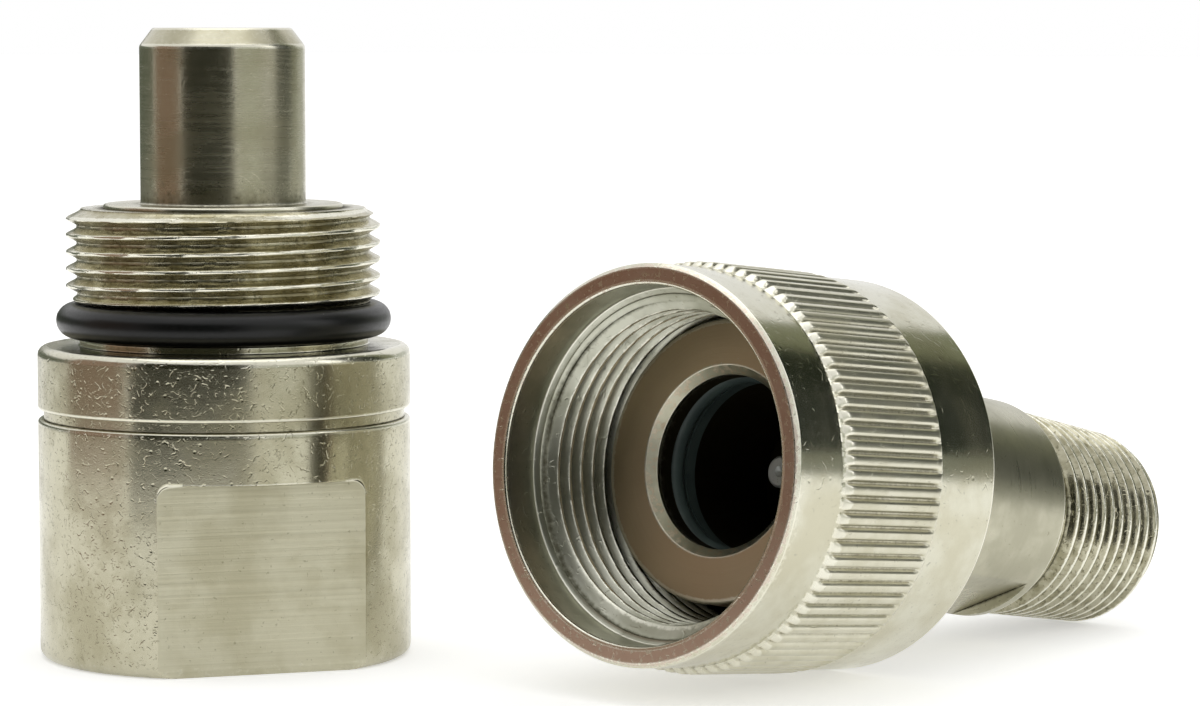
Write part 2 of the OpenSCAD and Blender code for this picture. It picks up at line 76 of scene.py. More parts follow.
def smoothStep(low, high, value):
    part = np.clip((value - low) / (high - low), 0, 1)
    return part * part * (3 - 2 * part)


def softMin(a, b, blend):
    # the smaller of two radii, with the corner between them rounded
    part = np.clip(0.5 + 0.5 * (b - a) / blend, 0, 1)
    return b * (1 - part) + a * part - blend * part * (1 - part)


def rounded(corners, closed=True):
    # corners are (radius, height, fillet, marks); marks are (worn and painted highlight, dirty and
    # painted shade, bronzed), each 0 to 1
    out = []
    count = len(corners)
    for index, corner in enumerate(corners):
        here = Vector(corner[:2])
        fillet = corner[2] if len(corner) > 2 else 0
        marks = corner[3] if len(corner) > 3 else (0, 0, 0)
        ends = not closed and index in (0, count - 1)
        if fillet <= 0 or ends:
            out.append((here.x, here.y, marks))
            continue
        before = Vector(corners[index - 1][:2]) - here
        after = Vector(corners[(index + 1) % count][:2]) - here
        bend = before.angle(after)
        reach = min(fillet / math.tan(bend / 2), 0.45 * before.length, 0.45 * after.length)
        radius = reach * math.tan(bend / 2)
        middle = here + (before.normalized() + after.normalized()).normalized() * (
            radius / math.sin(bend / 2))
        start = here + before.normalized() * reach
        stop = here + after.normalized() * reach
        hold = min(reach, 0.12)
        spareBefore = before.length * 0.5 - reach > hold
        spareAfter = after.length * 0.5 - reach > hold
        if spareBefore:
            rim = start + before.normalized() * hold
            out.append((rim.x, rim.y, marks))
        # every rounded corner is painted bright: wear and a painted highlight along the edge
        steps = 4
        for step in range(steps + 1):
            way = (start - middle).slerp(stop - middle, step / steps).normalized() * radius
            point = middle + way
            out.append((point.x, point.y, (1, marks[1], marks[2])))
        if spareAfter:
            rim = stop + after.normalized() * hold
            out.append((rim.x, rim.y, marks))
    return out


def ringRow(radius, height, angles, marks=(0, 0, 0)):
    radius = np.broadcast_to(radius, angles.shape)
    height = np.broadcast_to(height, angles.shape)
    points = np.stack([radius * np.cos(angles), radius * np.sin(angles), height], 1)
    paint = np.stack([np.broadcast_to(mark, angles.shape) for mark in marks], 1)
    return points, paint


def ringRows(profile, angles):
    return [ringRow(radius, height, angles, marks) for radius, height, marks in profile]


def bridge(lower, upper, faces):
    # joins two rings of vertex numbers, also where their counts differ
    n, m = len(lower), len(upper)
    if n == m:
        for i in range(n):
            j = (i + 1) % n
            faces.append((lower[i], lower[j], upper[j], upper[i]))
        return
    i = j = 0
    while i < n or j < m:
        if j >= m or (i < n and (i + 1) / n <= (j + 1) / m):
            faces.append((lower[i % n], lower[(i + 1) % n], upper[j % m]))
            i += 1
        else:
            faces.append((lower[i % n], upper[(j + 1) % m], upper[j % m]))
            j += 1


def ringPiece(name, rings, material, place=None, closed=True, sharp=40):
    points = np.concatenate([ring[0] for ring in rings]) * mm
    paint = np.concatenate([ring[1] for ring in rings])
    numbers, start = [], 0
    for ring in rings:
        numbers.append(range(start, start + len(ring[0])))
        start += len(ring[0])
    faces = []
    for lower, upper in zip(numbers, numbers[1:]):
        bridge(lower, upper, faces)
    if closed:
        bridge(numbers[-1], numbers[0], faces)
    mesh = bpy.data.meshes.new(name)
    mesh.from_pydata(points.tolist(), [], faces)
    layer = mesh.color_attributes.new("surfaceMarks", "FLOAT_COLOR", "POINT")
    layer.data.foreach_set("color", np.hstack([paint, np.ones((len(paint), 1))]).ravel())
    mesh.validate()
    work = bmesh.new()
    work.from_mesh(mesh)
    bmesh.ops.recalc_face_normals(work, faces=work.faces)
    work.to_mesh(mesh)
    work.free()
    mesh.shade_smooth()
    mesh.set_sharp_from_angle(angle=math.radians(sharp))
    mesh.materials.append(material)
    piece = bpy.data.objects.new(name, mesh)
    bpy.context.scene.collection.objects.link(piece)
    if place is not None:
        piece.matrix_world = place
    print("made", name, len(mesh.vertices), "points")
    return piece


def finishFaces(piece, material, chosen):
    # gives another finish to the faces that are chosen by their distance from the axis, their
    # height and their normal
    piece.data.materials.append(material)
    number = len(piece.data.materials) - 1
    for face in piece.data.polygons:
        reach = math.hypot(face.center.x, face.center.y) / mm
        if chosen(reach, face.center.z / mm, face):
            face.material_index = number


def threadHeight(phase, crestFlat=0.12, rootFlat=0.14):
    # how far up its flank a thread is, from 0 in the root to 1 on the crest
    away = np.abs((phase % 1) - 0.5) * 2
    return smoothStep(rootFlat, 1 - crestFlat, away) * 0.35 + 0.65 * np.clip(
        (away - rootFlat) / (1 - rootFlat - crestFlat), 0, 1)


def linearColour(text):
    values = [int(text[i:i + 2], 16) / 255 for i in (1, 3, 5)]
    linear = [v / 12.92 if v <= 0.04045 else ((v + 0.055) / 1.055) ** 2.4 for v in values]
    return (*linear, 1.0)


def addNode(tree, kind, inputs=None, **settings):
    node = tree.nodes.new(kind)
    for name, value in settings.items():
        setattr(node, name, value)
    for socket, value in (inputs or {}).items():
        if isinstance(value, bpy.types.NodeSocket):
            tree.links.new(value, node.inputs[socket])
        else:
            node.inputs[socket].default_value = value
    node.location = (180 * (len(tree.nodes) % 12), -220 * (len(tree.nodes) // 12))
    return node


def perMm(size):
    # noise scale that gives features of this many millimetres in a scene made in metres
    return 1000 / size


def grainyMask(tree, mark, grain, spread, low, high):
    # a painted mark whose edge the grain breaks up
    jitter = addNode(tree, "ShaderNodeMath", {0: grain, 1: 0.5}, operation="SUBTRACT")
    edge = addNode(tree, "ShaderNodeMath", {
        0: jitter.outputs[0], 1: spread, 2: mark}, operation="MULTIPLY_ADD")
    return addNode(tree, "ShaderNodeMapRange", {
        "Value": edge.outputs[0], "From Min": low, "From Max": high},
        interpolation_type="SMOOTHSTEP").outputs[0]


def toolLines(tree, coords, look):
    # tool lines run round the axis on a wall and in rings on a face, and straight on a flat
    parts = addNode(tree, "ShaderNodeSeparateXYZ", {"Vector": coords}).outputs
    along = parts["Z"]
    if not look["milled"]:
        flat = addNode(tree, "ShaderNodeCombineXYZ", {"X": parts["X"], "Y": parts["Y"]})
        reach = addNode(
            tree, "ShaderNodeVectorMath", {0: flat.outputs[0]}, operation="LENGTH")
        along = addNode(tree, "ShaderNodeMath", {
            0: parts["Z"], 1: reach.outputs["Value"]}, operation="ADD").outputs[0]
    squeezed = addNode(tree, "ShaderNodeCombineXYZ")
    for axis, value, size in (
            ("X", parts["X"], "lineLength"), ("Y", parts["Y"], "lineLength"),
            ("Z", along, "lineStep")):
        scaled = addNode(
            tree, "ShaderNodeMath", {0: value, 1: perMm(look[size])}, operation="MULTIPLY")
        tree.links.new(scaled.outputs[0], squeezed.inputs[axis])
    return addNode(tree, "ShaderNodeTexNoise", {
        "Vector": squeezed.outputs[0], "Scale": 1.0, "Detail": 2.0,
        "Roughness": 0.7}).outputs["Fac"]


def shortScratches(tree, coords, look):
    # thin level lines of one noise, broken up by another
    bent = addNode(tree, "ShaderNodeTexNoise", {
        "Vector": coords, "Scale": perMm(look["scratchSize"]), "Detail": 0.0,
        "Distortion": 0.6})
    middle = addNode(tree, "ShaderNodeMath", {
        0: bent.outputs["Fac"], 1: 0.5}, operation="SUBTRACT")
    offLine = addNode(tree, "ShaderNodeMath", {0: middle.outputs[0]}, operation="ABSOLUTE")
    line = addNode(tree, "ShaderNodeMapRange", {
        "Value": offLine.outputs[0], "From Min": 0.0, "From Max": look["scratchWidth"],
        "To Min": 1.0, "To Max": 0.0}, interpolation_type="SMOOTHSTEP")
    breaks = addNode(tree, "ShaderNodeTexNoise", {
        "Vector": coords, "Scale": perMm(look["scratchSize"] * 0.7), "Detail": 1.0,
        "W": 3.0}, noise_dimensions="4D")
    shown = addNode(tree, "ShaderNodeMapRange", {
        "Value": breaks.outputs["Fac"], "From Min": 0.52, "From Max": 0.6},
        interpolation_type="SMOOTHSTEP")
    return addNode(tree, "ShaderNodeMath", {
        0: line.outputs[0], 1: shown.outputs[0]}, operation="MULTIPLY").outputs[0]


def metalMaterial(name, look):
    material = bpy.data.materials.new(name)
    material.use_nodes = True
    tree = material.node_tree
    shader = tree.nodes["Principled BSDF"]
    shader.inputs["Metallic"].default_value = 1.0
    coords = addNode(tree, "ShaderNodeTexCoord").outputs["Object"]
    marks = addNode(tree, "ShaderNodeVertexColor", layer_name="surfaceMarks").outputs["Color"]
    marks = addNode(tree, "ShaderNodeSeparateColor", {"Color": marks}).outputs
    wornAndHighlit, dirtyAndShaded, bronzed = marks["Red"], marks["Green"], marks["Blue"]

    noises = {}
    for layer, detail, rough in (
            ("cloud", 4.0, 0.6), ("grain", 3.0, 0.65), ("wobble", 1.0, 0.5), ("speck", 2.0, 0.8)):
        noises[layer] = addNode(tree, "ShaderNodeTexNoise", {
            "Vector": coords, "Scale": perMm(look[layer + "Size"]), "Detail": detail,
            "Roughness": rough}).outputs["Fac"]
    grain = noises["grain"]
    lines = toolLines(tree, coords, look)
    scratch = shortScratches(tree, coords, look)
    dingCells = addNode(tree, "ShaderNodeTexVoronoi", {
        "Vector": coords, "Scale": perMm(look["dingSpacing"]), "Randomness": 1.0})

    masks = {}
    for mask, value, low, high, bottom, top in (
            ("cloud", noises["cloud"], 0.38, 0.66, 0.0, 1.0),
            ("speck", noises["speck"], look["speckFrom"], look["speckFrom"] + 0.05, 0.0, 1.0),
            ("ding", dingCells.outputs["Distance"], 0.04, 0.16, 1.0, 0.0),
            ("rough", noises["cloud"], 0.35, 0.7, *look["roughness"]),
            ("bronzed", bronzed, 0.02, 0.3, 0.0, 1.0), ("dirtyAndShaded", dirtyAndShaded, 0.0, 0.2, 0.0, 1.0)):
        masks[mask] = addNode(tree, "ShaderNodeMapRange", {
            "Value": value, "From Min": low, "From Max": high, "To Min": bottom,
            "To Max": top}, interpolation_type="SMOOTHSTEP").outputs[0]
    # the worn share also paints highlights on edges and crests; the dirt share also paints shade in
    # grooves and recesses
    shares = {}
    for share, a, b in (
            ("speck", masks["speck"], look["speckShare"]),
            ("bronze", grainyMask(tree, bronzed, grain, 2.2, 0.35, 0.6), masks["bronzed"]),
            ("wornAndHighlit", grainyMask(tree, wornAndHighlit, grain, 1.2, 0.35, 0.75), look["wornAndHighlitShare"]),
            ("grimeAndShade", grainyMask(tree, dirtyAndShaded, grain, 0.5, 0.3, 0.85), masks["dirtyAndShaded"])):
        shares[share] = addNode(
            tree, "ShaderNodeMath", {0: a, 1: b}, operation="MULTIPLY").outputs[0]

    # colour: plate, its cloudy tarnish, specks, bronzed faces, edges and crests painted bright (wear
    # and a painted highlight), grooves and recesses painted dark (dirt and painted shade)
    colour = linearColour(look["colour"])
    for share, tint in (
            (masks["cloud"], "tarnish"), (shares["speck"], "speckColour"),
            (shares["bronze"], "bronzeColour"), (shares["wornAndHighlit"], "wornAndHighlitColour"),
            (shares["grimeAndShade"], "grimeAndShadeColour")):
        colour = addNode(tree, "ShaderNodeMix", {
            0: share, 6: colour, 7: linearColour(look[tint])}, data_type="RGBA").outputs[2]
    tree.links.new(colour, shader.inputs["Base Color"])

    rough = masks["rough"]
    for layer, amount in (
            (lines, look["lineRough"]), (shares["bronze"], look["bronzeRough"]),
            (shares["grimeAndShade"], look["grimeAndShadeRough"])):
        rough = addNode(tree, "ShaderNodeMath", {
            0: layer, 1: amount, 2: rough}, operation="MULTIPLY_ADD").outputs[0]
    rough = addNode(tree, "ShaderNodeClamp", {"Value": rough}).outputs[0]
    tree.links.new(rough, shader.inputs["Roughness"])

    height = 0.0
    for layer, amount in (
            (noises["wobble"], look["wobbleHeight"]), (lines, look["lineHeight"]),
            (grain, look["grainHeight"]), (scratch, -look["scratchHeight"]),
            (masks["ding"], -look["dingHeight"]), (masks["speck"], -look["speckHeight"])):
        height = addNode(tree, "ShaderNodeMath", {
            0: layer, 1: amount, 2: height}, operation="MULTIPLY_ADD").outputs[0]
    bump = addNode(tree, "ShaderNodeBump", {"Height": height, "Strength": 1.0, "Distance": mm})
    tree.links.new(bump.outputs["Normal"], shader.inputs["Normal"])
    return material


# Every height is in mm, so that the bump's distance of one millimetre makes it real.
plate = {
    "colour": "#d2cfbd", "tarnish": "#c3bfa9", "roughness": (0.13, 0.2),
    "cloudSize": 6.0, "grainSize": 0.5, "grainHeight": 0.002,
    "wobbleSize": 3.0, "wobbleHeight": 0.008,
    "lineStep": 0.3, "lineLength": 14.0, "lineHeight": 0.0006, "lineRough": 0.05,
    "scratchSize": 1.2, "scratchWidth": 0.035, "scratchHeight": 0.012,
    "dingSpacing": 1.7, "dingHeight": 0.014,
    "speckSize": 0.5, "speckFrom": 0.66, "speckShare": 0.35, "speckHeight": 0.004,
    "speckColour": "#6e6a52", "wornAndHighlitShare": 0.5, "wornAndHighlitColour": "#efeddf",
    "bronzeColour": "#b39a88", "bronzeRough": 0.14, "grimeAndShadeColour": "#3a3423",
    "grimeAndShadeRough": 0.35, "milled": False,
}

# nickel plate tumbled with other parts: soft gloss with short curved scratches and dings
tumbledNickel = metalMaterial("tumbledNickelPlate", {
    **plate, "colour": "#bcb8a2", "tarnish": "#a8a38a", "roughness": (0.15, 0.24),
    "scratchSize": 0.8, "scratchWidth": 0.045, "scratchHeight": 0.014, "dingSpacing": 1.1,
    "speckFrom": 0.6, "speckShare": 0.3, "grainHeight": 0.004})

# the nut's plate is fresher: paler and cooler, with a few dings
nutNickel = metalMaterial("turnedNutNickelPlate", {
    **plate, "colour": "#d0cebd", "dingHeight": 0.008, "scratchHeight": 0.006})

# nickel plate brushed while it turned: fine rings round the nozzle and cleaner gloss
brushedNickel = metalMaterial("brushedNickelPlate", {
    **plate, "colour": "#bdb9a4", "lineStep": 0.22, "lineLength": 9.0,
    "lineHeight": 0.0032, "lineRough": 0.16,
    "roughness": (0.16, 0.22), "scratchHeight": 0.004, "wobbleHeight": 0.006,
    "dingHeight": 0.004, "tarnish": "#a9a48c"})

# plate over a milled flat: matt, with straight cutter lines, coarsened so that they show
milledNickel = metalMaterial("milledNickelPlate", {
    **plate, "milled": True, "lineStep": 0.45, "lineLength": 50.0, "lineHeight": 0.03,
    "lineRough": 0.25, "roughness": (0.3, 0.36), "scratchHeight": 0.003,
    "colour": "#c9c5ae", "tarnish": "#bdb89e", "wobbleHeight": 0.004, "dingHeight": 0.004})

# thin plate on a cut thread: yellowish flanks, crests painted bright as a highlight, dark specks and
# painted shade in the roots
threadNickel = metalMaterial("cutThreadNickelPlate", {
    **plate, "colour": "#bfbaa2", "tarnish": "#a39c7e", "cloudSize": 2.2,
    "speckFrom": 0.62, "speckShare": 0.6, "wornAndHighlitShare": 0.75, "lineHeight": 0.0015,
    "roughness": (0.18, 0.28), "grimeAndShadeColour": "#37331f"})

# the nut's inner thread was plated before it saw dirt: cool silver grey, with paler painted shade in
# its roots
innerNickel = metalMaterial("innerThreadNickelPlate", {
    **plate, "colour": "#bfbfb0", "tarnish": "#a5a594", "roughness": (0.28, 0.36),
    "wornAndHighlitShare": 0.7, "grimeAndShadeColour": "#5c5a4a"})

# plate over a rolled knurl: torn, grainy ridge tops
knurledNickel = metalMaterial("rolledKnurlNickelPlate", {
    **plate, "grainSize": 0.35, "grainHeight": 0.008, "roughness": (0.26, 0.36),
    "wobbleHeight": 0.006, "wornAndHighlitShare": 0.6, "grimeAndShadeColour": "#5b5544"})

# turned steel with a thin dull plate: even turning lines, coarsened so that they show
turnedNickel = metalMaterial("fineTurnedNickelPlate", {
    **plate, "lineStep": 0.34, "lineLength": 80.0, "lineHeight": 0.012, "lineRough": 0.15,
    "roughness": (0.2, 0.28), "scratchHeight": 0.003, "dingHeight": 0.003,
    "wobbleHeight": 0.003, "colour": "#bcb9a5", "tarnish": "#a9a692",
    "bronzeColour": "#b8a68a"})

# the tail's taper thread: the same cut thread, glossier and more soiled, with darker painted shade in
# its roots
tailNickel = metalMaterial("taperThreadNickelPlate", {
    **plate, "colour": "#b3af99", "tarnish": "#8f8b72", "cloudSize": 1.6, "speckFrom": 0.58,
    "speckShare": 0.8, "wornAndHighlitShare": 0.8, "roughness": (0.1, 0.18), "grimeAndShadeColour": "#25231a",
    "grainHeight": 0.006})

# ground steel of the valves: grey and matt
groundSteel = metalMaterial("groundBareSteel", {
    **plate, "colour": "#d6d8d4", "tarnish": "#c0c2be", "roughness": (0.45, 0.6)})

# drawn spring wire: dark grey with a dull gloss
springWire = metalMaterial("drawnSpringWire", {
    **plate, "colour": "#8c8c8c", "tarnish": "#7a7a7a", "roughness": (0.3, 0.4)})


def mouldedMaterial(name, look):
    material = bpy.data.materials.new(name)
    material.use_nodes = True
    tree = material.node_tree
    shader = tree.nodes["Principled BSDF"]
    shader.inputs["IOR"].default_value = look["ior"]
    coords = addNode(tree, "ShaderNodeTexCoord").outputs["Object"]
    cloud = addNode(tree, "ShaderNodeTexNoise", {
        "Vector": coords, "Scale": perMm(look["cloudSize"]), "Detail": 3.0}).outputs["Fac"]
    grain = addNode(tree, "ShaderNodeTexNoise", {
        "Vector": coords, "Scale": perMm(look["grainSize"]), "Detail": 2.0}).outputs["Fac"]
    dust = addNode(tree, "ShaderNodeTexVoronoi", {
        "Vector": coords, "Scale": perMm(look["dustSpacing"])}).outputs["Distance"]
    masks = {}
    for mask, value, low, high, bottom, top in (
            ("dust", dust, 0.02, 0.035, 1.0, 0.0), ("cloud", cloud, 0.35, 0.7, 0.0, 1.0),
            ("rough", grain, 0.3, 0.7, *look["roughness"])):
        masks[mask] = addNode(tree, "ShaderNodeMapRange", {
            "Value": value, "From Min": low, "From Max": high, "To Min": bottom,
            "To Max": top}, interpolation_type="SMOOTHSTEP").outputs[0]
    dustShare = addNode(tree, "ShaderNodeMath", {
        0: masks["dust"], 1: look["dustShare"]}, operation="MULTIPLY").outputs[0]
    colour = linearColour(look["colour"])
    for share, tint in ((masks["cloud"], "fade"), (dustShare, "dustColour")):
        colour = addNode(tree, "ShaderNodeMix", {
            0: share, 6: colour, 7: linearColour(look[tint])}, data_type="RGBA").outputs[2]
    tree.links.new(colour, shader.inputs["Base Color"])
    tree.links.new(masks["rough"], shader.inputs["Roughness"])
    height = 0.0
    for layer, amount in ((grain, look["grainHeight"]), (cloud, look["cloudHeight"])):
        height = addNode(tree, "ShaderNodeMath", {
            0: layer, 1: amount, 2: height}, operation="MULTIPLY_ADD").outputs[0]
    bump = addNode(tree, "ShaderNodeBump", {"Height": height, "Strength": 1.0, "Distance": mm})
    tree.links.new(bump.outputs["Normal"], shader.inputs["Normal"])
    return material


# moulded nitrile rubber with a trace of grease: black with a soft sheen and a little dust
mouldedRubber = mouldedMaterial("mouldedNitrileRubber", {
    "colour": "#040505", "fade": "#080909", "ior": 1.4, "roughness": (0.3, 0.38),
    "cloudSize": 5.0, "cloudHeight": 0.01, "grainSize": 0.25, "grainHeight": 0.003,
    "dustSpacing": 2.4, "dustShare": 0.7, "dustColour": "#c9c9c4"})

# filled seal plastic, turned: grey-teal and smooth
sealPlastic = mouldedMaterial("turnedFilledSealPlastic", {
    "colour": "#46524f", "fade": "#3c4745", "ior": 1.38, "roughness": (0.35, 0.45),
    "cloudSize": 3.0, "cloudHeight": 0.004, "grainSize": 0.2, "grainHeight": 0.002,
    "dustSpacing": 3.0, "dustShare": 0.2, "dustColour": "#8a9a98"})
print("materials made")

# surface marks that the pieces share: how worn and painted bright as a highlight, how dirty and painted
# dark as shade, and how bronzed a place is
wornAndHighlit = (1, 0, 0)
plain = (0, 0, 0)
soiledAndShaded = (0, 0.8, 0)
bronze = (0, 0, 1)

portBody = {
    "radius": 16.6, "height": 21.3, "footBevel": 0.8, "topBevel": 0.3,
    "flatAcross": 27.5, "flatTop": 16.7, "flatTurn": -120, "flatCorner": 1.3,
    "boreRadius": 7.6, "boreDepth": 12.5, "mouthBevel": 0.5, "passageRadius": 6.6,
    "threadPitch": 1.337, "threadDepth": 0.6, "spigotRadius": 12.42, "spigotFloor": 14.1,
    "passageFloor": 13.1, "bendFrom": 12.0, "boreRunout": 0.3,
}


def flatAngles(size):
    # closely spaced columns beside each flat's edges, wider ones elsewhere
    half = math.degrees(math.acos(size["flatAcross"] / 2 / size["radius"]))
    near = [-5, -4, -3.2, -2.5, -1.9, -1.4, -1, -0.7, -0.45, -0.25, -0.1, 0, 0.1, 0.25, 0.45,
            0.8, 1.3, 2]
    angles = []
    for turn in (size["flatTurn"], size["flatTurn"] + 180):
        angles += [turn + half + step for step in near]
        angles += [turn - half - step for step in near]
        angles += [turn + step for step in np.linspace(-half + 6, half - 6, 25)]
        angles += [turn + 90 + step for step in np.linspace(-90 + half + 3.5, 90 - half - 3.5, 56)]
    return np.radians(np.sort(np.array(angles) % 360))


def makePortBody(size):
    angles = flatAngles(size)
    across = size["flatAcross"] / 2
    half = math.acos(across / size["radius"])
    chord = across * math.tan(half)
    corner = size["flatCorner"]
    offset = np.full(angles.shape, 9.0)
    for turn in (size["flatTurn"], size["flatTurn"] + 180):
        turned = (angles - math.radians(turn) + math.pi) % fullTurn - math.pi
        offset = np.where(np.abs(turned) < np.abs(offset), turned, offset)
    away = np.abs(offset)
    onFlat = away < half
    cutRadius = np.where(away < 1.2, across / np.cos(np.minimum(away, 1.2)), 99)
    side = np.clip(across * np.tan(np.minimum(away, half)) - (chord - corner), 0, corner)
    dip = corner - np.sqrt(np.maximum(corner ** 2 - side ** 2, 0))
    dip = np.where(onFlat, dip, corner * (1 - smoothStep(half, half + 0.06, away)))
    flatTop, low = size["flatTop"], size["bendFrom"]
    bentTop = flatTop - dip

    def wall(radius, height, marks=plain, depth=1.0, lift=0.0):
        # depth 1 is on the flat, 0 is on the round body above it
        bent = low + (height - low) * (bentTop - low) / (flatTop - low)
        z = np.where(height > low, bent, height) + lift
        cut = softMin(np.full(angles.shape, radius), cutRadius, 0.02)
        blended = radius + (cut - radius) * depth
        share = smoothStep(half + 0.03, half, away) if height > low else 1.0
        return ringRow(blended, z, angles, [mark * share for mark in marks])

    rings = []
    r, foot = size["radius"], size["footBevel"]
    mouth = size["boreRadius"] + size["mouthBevel"]
    # the mouth's edge is painted bright: wear and a painted highlight
    rings += [ringRow(mouth, 0.0, angles, wornAndHighlit), ringRow(mouth + 0.15, 0.0, angles)]
    rings += [wall(r - foot - 0.8, 0.0), wall(r - foot - 0.1, 0.0)]
    # the foot's round edge is painted a little bright: wear and a painted highlight
    for step in np.linspace(0, 1, 6):
        turn = step * math.pi / 2
        rings.append(wall(r - foot * (1 - math.sin(turn)), foot * (1 - math.cos(turn)),
                          (0.35, 0, 0)))
    for height in (1.1, 2, 4, 6, 8, 10, 12, 12.8, 13.6, 14.4, 15, 15.4, 15.8, 16.2, 16.5):
        rings.append(wall(r, height))
    # the shoulder at the top of each flat: its edges painted bright with wear and a painted highlight,
    # its crease painted dark with dirt and painted shade
    for marks, depth, lift in (
            (wornAndHighlit, 1.0, -0.05), (soiledAndShaded, 0.94, 0.0), (soiledAndShaded, 0.5, 0.03), (wornAndHighlit, 0.05, 0.05),
            (wornAndHighlit, 0.0, 0.12), (plain, 0.0, 0.35)):
        rings.append(wall(r, flatTop, marks, depth, lift))
    rings += [ringRow(r, height, angles) for height in (17.6, 18.4, 19.2, 20, 20.6)]
    inner = size["spigotRadius"]
    tread = size["threadPitch"]
    topProfile = rounded([
        (r, 20.7), (r, size["height"], size["topBevel"], (0, 0.2, 0)), (inner, size["height"]),
        (inner, size["spigotFloor"]), (size["passageRadius"], size["spigotFloor"]),
        (size["passageRadius"], size["passageFloor"]), (size["boreRadius"], size["boreDepth"])],
        closed=False)
    rings += ringRows(topProfile, angles)
    boreAngles = evenAngles(160)
    steps = 150
    threadEnd = size["boreDepth"] - size["boreRunout"]
    for step in range(steps + 1):
        z = threadEnd - step * (threadEnd - size["mouthBevel"]) / steps
        rise = threadHeight(z / tread - boreAngles / fullTurn)
        fade = smoothStep(threadEnd, size["boreDepth"] - 1.6, z)
        fade = fade * smoothStep(size["mouthBevel"], size["mouthBevel"] + 0.5, z)
        deep = size["threadDepth"] * fade * (1 - rise)
        # thread crests painted bright as a highlight, roots painted dark as shade
        rings.append(ringRow(size["boreRadius"] + deep, z, boreAngles,
                             (rise * 0.8 * fade, (1 - rise) * 0.7, 0)))
    return ringPiece("plugPortBody", rings, tumbledNickel)


plugPortBody = makePortBody(portBody)


def onMilledFlat(reach, height, face):
    facing = math.radians(portBody["flatTurn"])
    turned = math.atan2(face.normal.y, face.normal.x) - facing
    turned = (turned + math.pi / 2) % math.pi - math.pi / 2
    across = abs(math.cos(facing) * face.center.x + math.sin(facing) * face.center.y) / mm
    level = abs(face.normal.z) < 0.3 and abs(turned) < math.radians(4)
    within = across < portBody["flatAcross"] / 2 + 0.15
    return level and within and height < portBody["flatTop"] + 0.05


finishFaces(plugPortBody, milledNickel, onMilledFlat)
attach(plugPortBody, "housings")
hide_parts("plug_port_body")

nose = {
    "radius": 16.6, "grooveFloor": 21.3, "flangeBase": 22.2, "flangeTop": 27.8,
    "flangeBevel": 0.8, "grooveDepth": 0.5, "stepRadius": 12.85, "stepTop": 28.5,
    "ringSeat": 11.85, "threadBase": 31.6, "threadTop": 40.0, "threadRadius": 14.0,
    "threadPitch": 1.5, "threadDepth": 0.95, "startBevel": 1.5, "footRadius": 10.67,
    "footFloor": 37.4, "shankRadius": 9.02, "spigotRadius": 12.4, "spigotBase": 14.1,
    "threadInside": 12.5,
}


def makeNose(size):
    angles = evenAngles(320)
    r = size["radius"]
    # the groove, the flange's foot and the step under the seal ring are painted darker: dirt and
    # painted shade
    lower = rounded([
        (size["shankRadius"], size["spigotBase"]), (size["spigotRadius"], size["spigotBase"]),
        (size["spigotRadius"], size["grooveFloor"], 0, soiledAndShaded),
        (r - size["grooveDepth"], size["grooveFloor"], 0, soiledAndShaded),
        (r - size["grooveDepth"], size["grooveFloor"] + 0.15, 0, (0, 0.3, 0)),
        (r - size["grooveDepth"], size["flangeBase"], 0, (0, 0.25, 0)),
        (r, size["flangeBase"], 0.25, (0, 0.1, 0)),
        (r, size["flangeTop"], size["flangeBevel"]),
        (size["stepRadius"], size["flangeTop"], 0.1, (0, 0.3, 0)),
        (size["stepRadius"], size["stepTop"], 0.15),
        (size["ringSeat"], size["stepTop"]), (size["ringSeat"], size["threadBase"])], closed=False)
    rings = ringRows(lower, angles)
    pitch, crest = size["threadPitch"], size["threadRadius"]
    steps = 150
    bevel = size["startBevel"]
    for step in range(steps + 1):
        z = size["threadBase"] + step * (size["threadTop"] - size["threadBase"]) / steps
        rise = threadHeight(z / pitch - angles / fullTurn + 0.28)
        fade = smoothStep(size["threadBase"], size["threadBase"] + 1.0, z + 0.2)
        radius = crest - size["threadDepth"] * (1 - rise * fade)
        # the bevel at the start cuts through the first turn
        limit = crest - bevel * smoothStep(0, 1, (z - size["threadTop"] + 0.95) / 0.95) * 0.9
        radius = softMin(radius, np.full(angles.shape, limit), 0.08)
        nicks = 0.035 * np.sin(angles * 23 + z * 9) * np.sin(angles * 11 - z * 4) * rise
        # thread crests painted bright as a highlight, roots painted dark as shade
        rings.append(ringRow(radius + nicks, z, angles,
                             (rise ** 6 * 0.9, (1 - rise) ** 2 * 0.45, 0)))
    # the foot of the thread is painted dark: dirt and painted shade
    upper = rounded([
        (crest - bevel, size["threadTop"], 0.12), (size["footRadius"], size["threadTop"], 0.05, soiledAndShaded),
        (size["footRadius"], size["footFloor"]), (size["shankRadius"], size["footFloor"])],
        closed=False)
    rings += ringRows(upper, angles)
    return ringPiece("plugNose", rings, tumbledNickel)


plugNose = makeNose(nose)
finishFaces(plugNose, threadNickel, lambda reach, height, face: (
    nose["threadBase"] < height < nose["threadTop"] + 0.1 and reach > nose["threadInside"]))
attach(plugNose, "housings")
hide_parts("plug_nose")

nozzle = {
    "radius": 7.35, "top": 56.0, "tipBevelAcross": 1.2, "tipBevelAlong": 1.6, "bore": 6.0,
    "tipHole": 4.4, "seatAt": 54.7, "seatSlope": 1.6, "foot": 40.4, "footRadius": 10.65,
    "footFloor": 37.4, "shankRadius": 9.0, "shankBase": 29.4,
}


